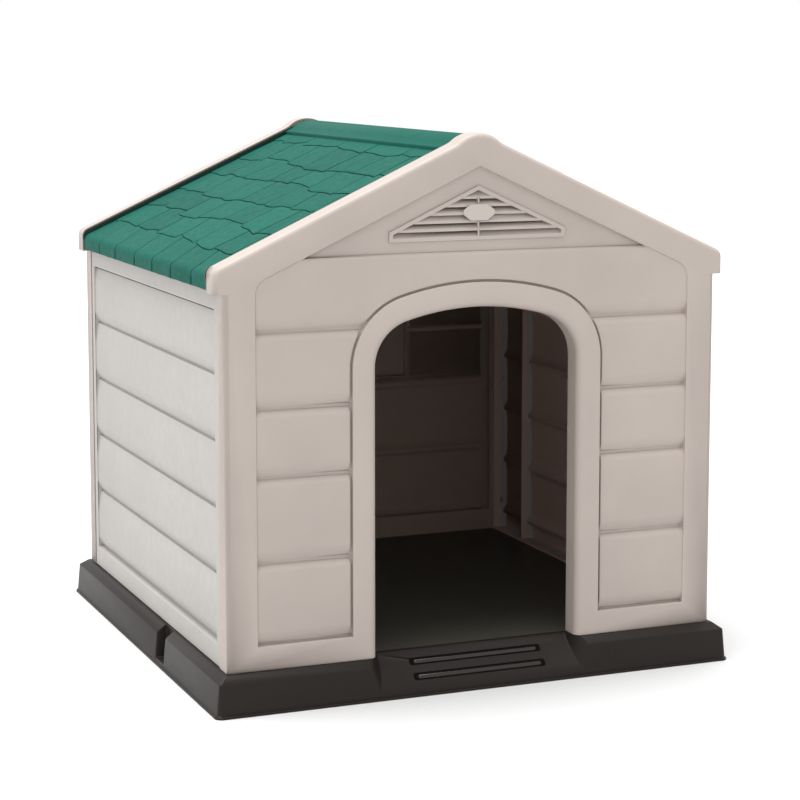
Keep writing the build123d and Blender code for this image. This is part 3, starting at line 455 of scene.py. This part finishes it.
# ================================================================ shared mesh work
def finished_piece(name, bm, material, body, smooth_below):
    """Turns a bmesh into a piece that rides on a body and is shaded smooth up to an angle."""
    mesh = bpy.data.meshes.new(name)
    bm.to_mesh(mesh)
    bm.free()
    for face in mesh.polygons:
        face.use_smooth = True
    mesh.set_sharp_from_angle(angle=radians(smooth_below))
    piece = bpy.data.objects.new(name, mesh)
    bpy.context.scene.collection.objects.link(piece)
    paint(piece, material)
    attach(piece, body)
    return piece


def merged_copy(node):
    """The CAD node's surface as one joined mesh with flat faces left whole."""
    bm = bmesh.new()
    bm.from_mesh(NODES[node].data)
    bmesh.ops.remove_doubles(bm, verts=bm.verts, dist=2e-6)
    bmesh.ops.dissolve_limit(bm, angle_limit=radians(0.5), verts=bm.verts, edges=bm.edges)
    return bm


def soften(bm, radius, chosen, sharp=32):
    """Rounds the sharp edges that chosen(edge) picks."""
    edges = [
        e for e in bm.edges
        if e.is_manifold and e.calc_face_angle() > radians(sharp) and e.calc_length() > 0.0004 and chosen(e)
    ]
    if not edges:
        raise RuntimeError("no edge was picked to be rounded")
    bmesh.ops.bevel(
        bm, geom=edges, offset=radius, offset_type="OFFSET", segments=3, profile=0.5, affect="EDGES",
        clamp_overlap=False, loop_slide=True, material=-1,
    )


def middle(edge):
    return (edge.verts[0].co + edge.verts[1].co) / 2


def looks_along(edge, way, least=0.35):
    """Whether a face beside the edge looks more or less that way."""
    return any(face.normal.dot(way) > least for face in edge.link_faces)


# ================================================================ walls
def gable_wall(node, name, toward):
    """A gable wall with its outward moulded edges rounded; toward is -1 for the front, 1 for the rear."""
    sizes = bpy.context.scene.hutch_sizes
    colours = bpy.context.scene.hutch_colours
    low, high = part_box(node)
    face_y = low.y if toward < 0 else high.y
    foot_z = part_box("base_tray")[1].z

    def outward(edge):
        spot = middle(edge)
        rake_z = high.z - sizes.rim_rake - abs(spot.x) * tan(sizes.roof_pitch)
        off_rim = abs(spot.x) < high.x - sizes.rim_side and spot.z < rake_z
        near = abs(spot.y - face_y) < sizes.gable_relief and spot.z > foot_z + 0.002
        return off_rim and near and looks_along(edge, Vector((0, toward, 0)))

    bm = merged_copy(node)
    soften(bm, sizes.wall_edge, outward)
    # Inward faces get painted shade: a darker copy of the gable resin on the cabin's side.
    material = moulded_resin(name + "_resin", colours.gable, inward=(0, -toward, 0))
    piece = finished_piece(name, bm, material, "house", 40)
    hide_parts(node)


def side_wall(node, name, toward):
    """A side wall with its outward moulded edges rounded; toward is -1 for the left, 1 for the right."""
    sizes = bpy.context.scene.hutch_sizes
    colours = bpy.context.scene.hutch_colours
    low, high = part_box(node)
    face_x = low.x if toward < 0 else high.x

    def outward(edge):
        near = abs(middle(edge).x - face_x) < sizes.side_relief
        return near and looks_along(edge, Vector((toward, 0, 0)))

    bm = merged_copy(node)
    soften(bm, sizes.wall_edge * 0.8, outward)
    # Painted interior shading on the cabin's side: a warmer copy of the side resin; no painted crevice shade
    # outside.
    material = moulded_resin(
        name + "_resin", colours.side, mottle=0.03, crevice_shade=1.0, ripple=0.0001, inward=(-toward, 0, 0),
        interior_shading=(1.25, 0.95, 0.86), within=(("X", abs(face_x) - sizes.interior_shading_depth),))
    piece = finished_piece(name, bm, material, "house", 40)
    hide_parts(node)


class HUTCH_OT_gable_walls(bpy.types.Operator):
    """Front and rear gable walls with soft moulded edges"""
    bl_idname = "hutch.gable_walls"
    bl_label = "Gable walls"

    def execute(self, context):
        gable_wall("front_wall", "gable_front", -1)
        gable_wall("rear_wall", "gable_rear", 1)
        return {"FINISHED"}


class HUTCH_OT_side_walls(bpy.types.Operator):
    """Left and right side walls with soft moulded edges"""
    bl_idname = "hutch.side_walls"
    bl_label = "Side walls"

    def execute(self, context):
        side_wall("left_wall", "side_left", -1)
        side_wall("right_wall", "side_right", 1)
        return {"FINISHED"}


# ================================================================ base tray
class HUTCH_OT_base(bpy.types.Operator):
    """Base tray with soft moulded edges"""
    bl_idname = "hutch.base"
    bl_label = "Base tray"

    def execute(self, context):
        sizes = context.scene.hutch_sizes
        low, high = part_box("base_tray")
        walls_low, walls_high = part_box("front_wall")[0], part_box("rear_wall")[1]
        wall_band, skirt_band, foot_lip = 0.034, 0.028, 0.0035
        ramp_half, ramp_end, door_half, wall_half = 0.125, -0.36, 0.18, 0.398

        def outside(edge):
            spot = middle(edge)
            on_ramp = abs(spot.x) < ramp_half and spot.y < ramp_end and spot.z < high.z - 0.002
            if spot.z < low.z + foot_lip or on_ramp:
                return False
            between = walls_low.y + wall_band < spot.y < walls_high.y - wall_band
            under_walls = between and abs(spot.x) < high.x - skirt_band
            beside_door = abs(spot.y) > walls_high.y - wall_band and abs(spot.x) > door_half
            in_walls = spot.z > high.z - 0.001 and beside_door
            if under_walls or (in_walls and abs(spot.y) < walls_high.y - 0.002 and abs(spot.x) < wall_half):
                return False
            return any(
                face.normal.z > 0.3 or face.normal.x * spot.x > 0.2 * abs(spot.x)
                or face.normal.y * spot.y > 0.1
                for face in edge.link_faces
            )

        bm = merged_copy("base_tray")
        soften(bm, sizes.tray_edge, outside)
        # Painted light and shade: bright painted highlight on edges, painted shade in corners and beside the
        # walls, and a lighter painted floor inside the cabin.
        material = moulded_resin(
            "tray_resin", context.scene.hutch_colours.base, gloss=0.42, mottle=0.04, edge_highlight=4.0, crevice_shade=0.40,
            reach=0.018, ripple=0.00003, patches=0.012, interior_shading=(4.2, 5.8, 5.8),
            within=(("X", 0.370), ("Y", 0.362)), specular=0.20)
        piece = finished_piece("base", bm, material, "house", 26)
        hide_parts("base_tray")
        return {"FINISHED"}


def capsule(bm, radius, half, place):
    """A bar along X with round ends."""
    made = bmesh.ops.create_uvsphere(bm, u_segments=28, v_segments=15, radius=radius)["verts"]
    bmesh.ops.rotate(bm, verts=made, matrix=Euler((0, radians(90), 0)).to_matrix())
    for vert in made:
        vert.co.x += half if vert.co.x > 0 else -half
    bmesh.ops.translate(bm, verts=made, vec=place)


class HUTCH_OT_grips(bpy.types.Operator):
    """Polished grip bars and the pads they stand on, across the ramp, both darkened as painted shade"""
    bl_idname = "hutch.grips"
    bl_label = "Grips"

    def execute(self, context):
        grips = context.scene.hutch_grips
        base = context.scene.hutch_colours.base
        bars, pads = bmesh.new(), bmesh.new()
        out = Vector((0, -sin(grips.slope), cos(grips.slope)))
        for y, z in GRIPS:
            capsule(bars, grips.radius, grips.half, (0, y, z))
            pad = bmesh.ops.create_cube(pads, size=1.0)["verts"]
            bmesh.ops.scale(
                pads, verts=pad, vec=(2 * grips.half + grips.pad_extra, grips.pad_width, grips.pad_depth))
            bmesh.ops.rotate(pads, verts=pad, matrix=Euler((grips.slope, 0, 0)).to_matrix())
            top = Vector((0, y, z)) + out * (grips.sunk + grips.pad_rise - grips.pad_depth / 2)
            bmesh.ops.translate(pads, verts=pad, vec=top)
        upright = [e for e in pads.edges if abs((e.verts[0].co - e.verts[1].co).normalized().dot(out)) > 0.99]
        bmesh.ops.bevel(
            pads, geom=upright, offset=grips.pad_corner, offset_type="OFFSET", segments=5, profile=0.5,
            affect="EDGES", clamp_overlap=True, material=-1)
        # Painted shade: the bars are a darker copy of the tray's charcoal so only their glossy crests catch
        # light; the near-black pads under them are painted shadow.
        polished = moulded_resin(
            "grip_resin", shade(base, 0.6), gloss=0.16, mottle=0.02, edge_highlight=1.2, grain=0.00001, ripple=0.00002,
            specular=0.55)
        dull = moulded_resin(
            "grip_pad_resin", shade(base, 0.35), gloss=0.8, mottle=0.02, edge_highlight=1.0, specular=0.05)
        finished_piece("grip_bars", bars, polished, "house", 60)
        finished_piece("grip_pads", pads, dull, "house", 40)
        return {"FINISHED"}


# ================================================================ roof
class RoofPath:
    """The way down a roof half: along the slope, round the eave and down the fascia."""

    def __init__(self, sizes):
        low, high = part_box("roof_right")
        self.pitch = sizes.roof_pitch
        self.start_x, self.start_z = sizes.ridge_gap, high.z
        self.edge_x, self.foot_z = high.x, low.z
        self.radius = sizes.eave_radius
        self.turn = radians(90) - self.pitch
        corner = (self.edge_x - self.start_x) / cos(self.pitch)
        self.slope = corner - self.radius * tan(self.turn / 2)
        self.bend = self.radius * self.turn
        self.centre_x = self.edge_x - self.radius
        self.centre_z = (
            self.start_z - self.slope * sin(self.pitch) - self.radius * cos(self.pitch)
        )
        self.course = corner / len(SLATE_JOINTS)
        self.end = self.slope + self.bend + self.centre_z - self.foot_z

    def point(self, down, height):
        """(x, z) at a distance down the roof and a height above its skin."""
        if down <= self.slope:
            return (
                self.start_x + down * cos(self.pitch) + height * sin(self.pitch),
                self.start_z - down * sin(self.pitch) + height * cos(self.pitch),
            )
        if down <= self.slope + self.bend:
            angle = self.pitch + (down - self.slope) / self.radius
            reach = self.radius + height
            return self.centre_x + reach * sin(angle), self.centre_z + reach * cos(angle)
        return self.edge_x + height, self.centre_z - (down - self.slope - self.bend)


def wander(a, b, seed):
    """Smooth noise between about -1 and 1."""
    return noise.noise(Vector((a, b, seed)))


class SlatePlan:
    """Where each slate's edges run: along is from the roof's front end, down from the ridge."""

    def __init__(self, path, sizes, length):
        self.path, self.sizes, self.length = path, sizes, length

    def course_edge(self, course, along):
        """Distance down to a course's lower edge."""
        if course < 0:
            return 0.0
        if course == len(SLATE_JOINTS) - 1:
            return self.path.end - 0.0006 * (1 + wander(along * 30, 0, 4.0))
        sizes = self.sizes
        wave = wander(along * 5.5, course * 3.7, 1.3) + 0.45 * wander(along * 21, course * 2.1, 8.9)
        index = sum(along > joint for joint in SLATE_JOINTS[course])
        step = wander(index * 2.31, course * 1.77, 5.5)
        first, last = self.joint(course, index, 1.0), self.joint(course, index + 1, 1.0)
        tilt = wander(index * 3.17, course * 2.43, 7.5) * ((along - first) / (last - first) - 0.5)
        edge = (course + 1) * self.path.course + sizes.course_drop
        edge += sizes.slate_wave * wave + sizes.slate_step * (step + tilt)
        for side, gap in ((0, along - first), (1, last - along)):
            cut = sizes.slate_corner * max(0.1, 0.25 + 1.5 * wander(index * 4.3 + side, course * 5.9, 3.3))
            edge -= 0.8 * cut * min(1.0, max(0.0, 1 - gap / cut)) ** 1.5
        return edge

    def joint(self, course, index, part):
        """Distance along to the joint before a slate, at part 0 (upper edge) to 1 (lower edge) of it."""
        joints, sizes = SLATE_JOINTS[course], self.sizes
        if index == 0:
            return sizes.lip_width
        if index > len(joints):
            return self.length - sizes.lip_width
        place = joints[index - 1]
        lean = wander(place * 9, course * 1.9, 2.2)
        if course == len(SLATE_JOINTS) - 1:
            above_eave = max(0.0, sizes.eave_part - part) / sizes.eave_part
            return place + sizes.eave_lean * above_eave - 0.004 * lean
        curve = 0.0022 * wander(part * 2.2, index * 3.1 + course, 6.1)
        return place + sizes.slate_lean * lean * (part - 0.5) + curve

    def spot(self, course, index, across, part):
        """(along, down) of a point of a slate, with half a joint's width left beside it."""
        last_course = course == len(SLATE_JOINTS) - 1
        half = self.sizes.slate_joint / 2 * (2.0 if last_course and part > 0.8 else 0.8)
        first = self.joint(course, index, part) + (half if index else 0)
        last = self.joint(course, index + 1, part) - (half if index < len(SLATE_JOINTS[course]) else 0)
        along = first + (last - first) * across
        upper = self.course_edge(course - 1, along) - (self.sizes.slate_lap if course else 0)
        lower = self.course_edge(course, along)
        return along, upper + (lower - upper) * part


def add_slate(bm, tone_layer, plan, course, index):
    """One slate, from a flat grid that is laid on the roof, thickened and rounded at its rim."""
    sizes, path = plan.sizes, plan.path
    last = course == len(SLATE_JOINTS) - 1
    rows = sizes.eave_rows if last else sizes.slate_rows
    one = bmesh.new()
    bmesh.ops.create_grid(one, x_segments=sizes.slate_columns, y_segments=rows, size=0.5)
    lift = 0.0004 * wander(course * 5.1, index * 3.3, 0.7)
    tilt = 0.0005 * wander(course * 2.9, index * 4.7, 3.1)
    lap_rows = 2 if course else 0
    for vert in one.verts:
        across, row = vert.co.x + 0.5, round((0.5 - vert.co.y) * rows)
        along, down = plan.spot(course, index, across, 0.0)
        lower = plan.spot(course, index, across, 1.0)[1]
        if row < lap_rows:
            down += (0.0, sizes.slate_lap + 0.0004)[row]
            dip = sizes.slate_dip
        else:
            part = (row - lap_rows) / (rows - lap_rows)
            top = down + sizes.slate_lap + sizes.slate_groove if course else down
            down = top + (lower - top) * part
            along = plan.spot(course, index, across, part)[0]
            dip = 0.0
        rise = row / rows if not last else min(1.0, row / rows * 1.6)
        height = sizes.slate_sunk + (sizes.slate_proud - sizes.slate_sunk) * rise - dip
        height += lift + tilt * (across - 0.5) + 0.00025 * wander(along * 40, down * 40, 9.0)
        x, z = path.point(down, height)
        vert.co = (x, along, z)
    bmesh.ops.recalc_face_normals(one, faces=one.faces)
    if sum((face.normal.z for face in one.faces)) < 0:
        bmesh.ops.reverse_faces(one, faces=one.faces)
    bmesh.ops.solidify(one, geom=one.faces[:], thickness=sizes.slate_depth)
    tops = [face for face in one.faces if is_outer(face, path)]
    rim = [
        edge for edge in one.edges
        if edge.is_manifold and sum(face in tops for face in edge.link_faces) == 1
    ]
    ends = min(vert.co.y for vert in one.verts), max(vert.co.y for vert in one.verts)
    bmesh.ops.bevel(
        one, geom=rim, offset=sizes.slate_edge, offset_type="OFFSET", segments=2, profile=0.5, affect="EDGES",
        clamp_overlap=False, material=-1,
    )
    for vert in one.verts:
        vert.co.y = min(ends[1], max(ends[0], vert.co.y))
    tone = 0.5 + 0.8 * wander(course * 7.7, index * 6.3, 1.1)
    mesh = bpy.data.meshes.new("slate")
    one.to_mesh(mesh)
    one.free()
    start = len(bm.faces)
    bm.from_mesh(mesh)
    bpy.data.meshes.remove(mesh)
    bm.faces.ensure_lookup_table()
    for face in bm.faces[start:]:
        face[tone_layer] = tone


def add_lip(bm, plan, first, last):
    """A raised lip over the whole way down a roof half, between two distances along it."""
    sizes, path = plan.sizes, plan.path
    downs = [path.slope * i / 12 for i in range(13)]
    downs += [path.slope + path.bend * i / 8 for i in range(1, 9)]
    downs += [path.end - sizes.lip_foot]
    rings = []
    for down in downs:
        turned = min(1.0, max(0.0, (down - path.slope) / path.bend))
        top = sizes.lip_height + (sizes.lip_eave - sizes.lip_height) * turned
        corners = ((first, -sizes.lip_sunk), (first, top), (last, top), (last, -sizes.lip_sunk))
        spots = [(along, path.point(down, height)) for along, height in corners]
        rings.append([bm.verts.new((x, along, z)) for along, (x, z) in spots])
    for upper, lower in zip(rings, rings[1:]):
        for i in range(4):
            bm.faces.new((upper[i], upper[(i + 1) % 4], lower[(i + 1) % 4], lower[i]))
    bm.faces.new(rings[0][::-1])
    bm.faces.new(rings[-1])


def is_outer(face, path):
    """Whether a face of a new slate looks away from the roof."""
    spot = face.calc_center_median()
    if spot.x >= path.centre_x and spot.z <= path.centre_z:
        outward = Vector((1, 0, 0))
    elif spot.x >= path.centre_x:
        outward = Vector((spot.x - path.centre_x, 0, spot.z - path.centre_z)).normalized()
    else:
        outward = Vector((sin(path.pitch), 0, cos(path.pitch)))
    return face.normal.dot(outward) > 0.7


class HUTCH_OT_slates(bpy.types.Operator):
    """Slates on both roof halves, turned over the eaves"""
    bl_idname = "hutch.slates"
    bl_label = "Slates"

    def execute(self, context):
        sizes = context.scene.hutch_sizes
        colours = context.scene.hutch_colours
        path = RoofPath(sizes)
        low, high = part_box("roof_right")
        length = high.y - low.y
        plan = SlatePlan(path, sizes, length)
        slate_finish = slate_resin("slate_resin", colours.roof)
        # Painted shade: the roof halves' skin and the end lips in a much darker copy of the roof green.
        under = moulded_resin("roof_skin_resin", shade(colours.roof, 0.22), mottle=0.08, edge_highlight=1.3)
        for side, mirrored, start in (("left", (-1, 1, 1), low.y), ("right", (1, -1, 1), high.y)):
            slates, lips = bmesh.new(), bmesh.new()
            tone = slates.faces.layers.float.new("tone")
            for course, joints in enumerate(SLATE_JOINTS):
                for index in range(len(joints) + 1):
                    add_slate(slates, tone, plan, course, index)
            inner, outer = sizes.lip_width - sizes.lip_gap, sizes.lip_inset
            add_lip(lips, plan, outer, inner)
            add_lip(lips, plan, length - inner, length - outer)
            bmesh.ops.recalc_face_normals(lips, faces=lips.faces)
            soften(lips, sizes.trim_edge, lambda edge: True, sharp=60)
            for bm in (slates, lips):
                bmesh.ops.scale(bm, vec=mirrored, verts=bm.verts)
                bmesh.ops.reverse_faces(bm, faces=bm.faces)
                bmesh.ops.translate(bm, vec=(0, start, 0), verts=bm.verts)
            finished_piece("slates_" + side, slates, slate_finish, "roof", 50)
            finished_piece("end_lips_" + side, lips, under, "roof", 40)
        for node in ("roof_left", "roof_right"):
            paint(NODES[node], under)
        return {"FINISHED"}


class HUTCH_OT_ridge(bpy.types.Operator):
    """Ridge cap with soft edges"""
    bl_idname = "hutch.ridge"
    bl_label = "Ridge cap"

    def execute(self, context):
        sizes = context.scene.hutch_sizes
        skin_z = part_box("roof_left")[1].z

        def seen(edge):
            return middle(edge).z > skin_z - 0.03 and abs(middle(edge).x) > 0.003

        bm = merged_copy("ridge_cap")
        soften(bm, sizes.trim_edge * 2, seen)
        # Painted highlight on the cap's edges and painted shade in its grooves.
        material = moulded_resin(
            "ridge_resin", context.scene.hutch_colours.roof, gloss=0.55, mottle=0.05, edge_highlight=1.35, crevice_shade=0.5,
            ripple=0.0001, specular=0.04)
        piece = finished_piece("cap", bm, material, "roof", 40)
        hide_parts("ridge_cap")
        return {"FINISHED"}


# ================================================================ louvres, plate, fasteners
class HUTCH_OT_louvres(bpy.types.Operator):
    """Louvres in both gables and the blank name plate"""
    bl_idname = "hutch.louvres"
    bl_label = "Louvres and plate"

    def execute(self, context):
        sizes = context.scene.hutch_sizes
        colours = context.scene.hutch_colours
        material = moulded_resin("louvre_resin", shade(colours.gable, 1.02), mottle=0.04)
        for node, name, toward in (("front_louvre", "vent_front", -1), ("rear_louvre", "vent_rear", 1)):
            low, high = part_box(node)
            face_y = low.y if toward < 0 else high.y

            def outward(edge):
                near = abs(middle(edge).y - face_y) < 0.008
                return near and looks_along(edge, Vector((0, toward, 0)))

            bm = merged_copy(node)
            soften(bm, sizes.trim_edge, outward)
            piece = finished_piece(name, bm, material, "house", 40)
            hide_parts(node)
        paint(NODES["name_plate"], moulded_resin("plate_resin", colours.plate, gloss=0.38, mottle=0.03))
        return {"FINISHED"}


class HUTCH_OT_fasteners(bpy.types.Operator):
    """Zinc on the corner screws, ridge bolts and nuts"""
    bl_idname = "hutch.fasteners"
    bl_label = "Fasteners"

    def execute(self, context):
        material = zinc_plate("zinc_plate", context.scene.hutch_colours.zinc)
        for node in ("corner_screws", "ridge_bolts", "ridge_nuts"):
            paint(NODES[node], material)
        return {"FINISHED"}


# ================================================================ stage
def studio_light(name, place, aim, size, power):
    lamp = bpy.data.lights.new(name, "AREA")
    lamp.shape = "RECTANGLE"
    lamp.size, lamp.size_y = size
    lamp.energy = power
    light = bpy.data.objects.new(name, lamp)
    light.location = place
    light.rotation_euler = (Vector(aim) - Vector(place)).to_track_quat("-Z", "Y").to_euler()
    bpy.context.scene.collection.objects.link(light)


class HUTCH_OT_stage(bpy.types.Operator):
    """Floor, soft studio light and camera"""
    bl_idname = "hutch.stage"
    bl_label = "Studio"

    def execute(self, context):
        scene = context.scene
        stage = scene.hutch_stage
        bm = bmesh.new()
        bmesh.ops.create_grid(bm, x_segments=8, y_segments=8, size=12.0)
        mesh = bpy.data.meshes.new("floor")
        bm.to_mesh(mesh)
        bm.free()
        floor = bpy.data.objects.new("floor", mesh)
        scene.collection.objects.link(floor)
        paint(floor, studio_floor("studio_floor", scene.hutch_colours.floor))
        world = bpy.data.worlds.new("studio")
        world.use_nodes = True
        background = world.node_tree.nodes["Background"]
        background.inputs["Color"].default_value = (1, 1, 1, 1)
        background.inputs["Strength"].default_value = stage.sky
        scene.world = world
        aim = (0, 0, 0.4)
        studio_light("key", (-1.2, -3.6, 2.4), aim, (2.6, 2.0), stage.key_power)
        studio_light("side", (-3.4, -0.6, 1.9), aim, (2.4, 2.0), stage.side_power)
        lamp = bpy.data.lights.new("top", "SUN")
        lamp.energy, lamp.angle = stage.top_strength, stage.top_spread
        light = bpy.data.objects.new("top", lamp)
        light.rotation_euler = Euler((radians(-6), radians(-8), 0))
        scene.collection.objects.link(light)
        scene.view_settings.view_transform = "Standard"
        lens = bpy.data.cameras.new("camera")
        lens.lens = stage.lens
        lens.sensor_width = 36.0
        lens.shift_y = stage.camera_shift
        lens.clip_start = 0.05
        camera = bpy.data.objects.new("camera", lens)
        camera.location = stage.camera_place
        camera.rotation_euler = Euler((radians(90) - stage.camera_dip, 0, stage.camera_turn))
        scene.collection.objects.link(camera)
        scene.camera = camera
        return {"FINISHED"}


class HUTCH_PT_panel(bpy.types.Panel):
    """Sizes, colours and build steps of the hutch"""
    bl_idname = "HUTCH_PT_panel"
    bl_label = "Hutch"
    bl_space_type = "VIEW_3D"
    bl_region_type = "UI"
    bl_category = "Hutch"

    def draw(self, context):
        layout = self.layout
        scene = context.scene
        for group in (scene.hutch_colours, scene.hutch_sizes, scene.hutch_grips, scene.hutch_stage):
            box = layout.box()
            for name in group.__annotations__:
                box.prop(group, name)
        for operator in OPERATORS:
            layout.operator(operator.bl_idname)


OPERATORS = (
    HUTCH_OT_gable_walls, HUTCH_OT_side_walls, HUTCH_OT_base, HUTCH_OT_grips, HUTCH_OT_slates, HUTCH_OT_ridge,
    HUTCH_OT_louvres, HUTCH_OT_fasteners, HUTCH_OT_stage,
)
GROUPS = (HutchColours, HutchSizes, HutchGrips, HutchStage)


def register():
    for item in (*GROUPS, *OPERATORS, HUTCH_PT_panel):
        bpy.utils.register_class(item)
    bpy.types.Scene.hutch_colours = PointerProperty(type=HutchColours)
    bpy.types.Scene.hutch_sizes = PointerProperty(type=HutchSizes)
    bpy.types.Scene.hutch_grips = PointerProperty(type=HutchGrips)
    bpy.types.Scene.hutch_stage = PointerProperty(type=HutchStage)


def unregister():
    for name in ("hutch_colours", "hutch_sizes", "hutch_grips", "hutch_stage"):
        delattr(bpy.types.Scene, name)
    for item in reversed((*GROUPS, *OPERATORS, HUTCH_PT_panel)):
        bpy.utils.unregister_class(item)


def main():
    register()
    bpy.ops.hutch.gable_walls()
    bpy.ops.hutch.side_walls()
    bpy.ops.hutch.base()
    bpy.ops.hutch.grips()
    bpy.ops.hutch.slates()
    bpy.ops.hutch.ridge()
    bpy.ops.hutch.louvres()
    bpy.ops.hutch.fasteners()
    bpy.ops.hutch.stage()


if __name__ == "__main__":
    main()
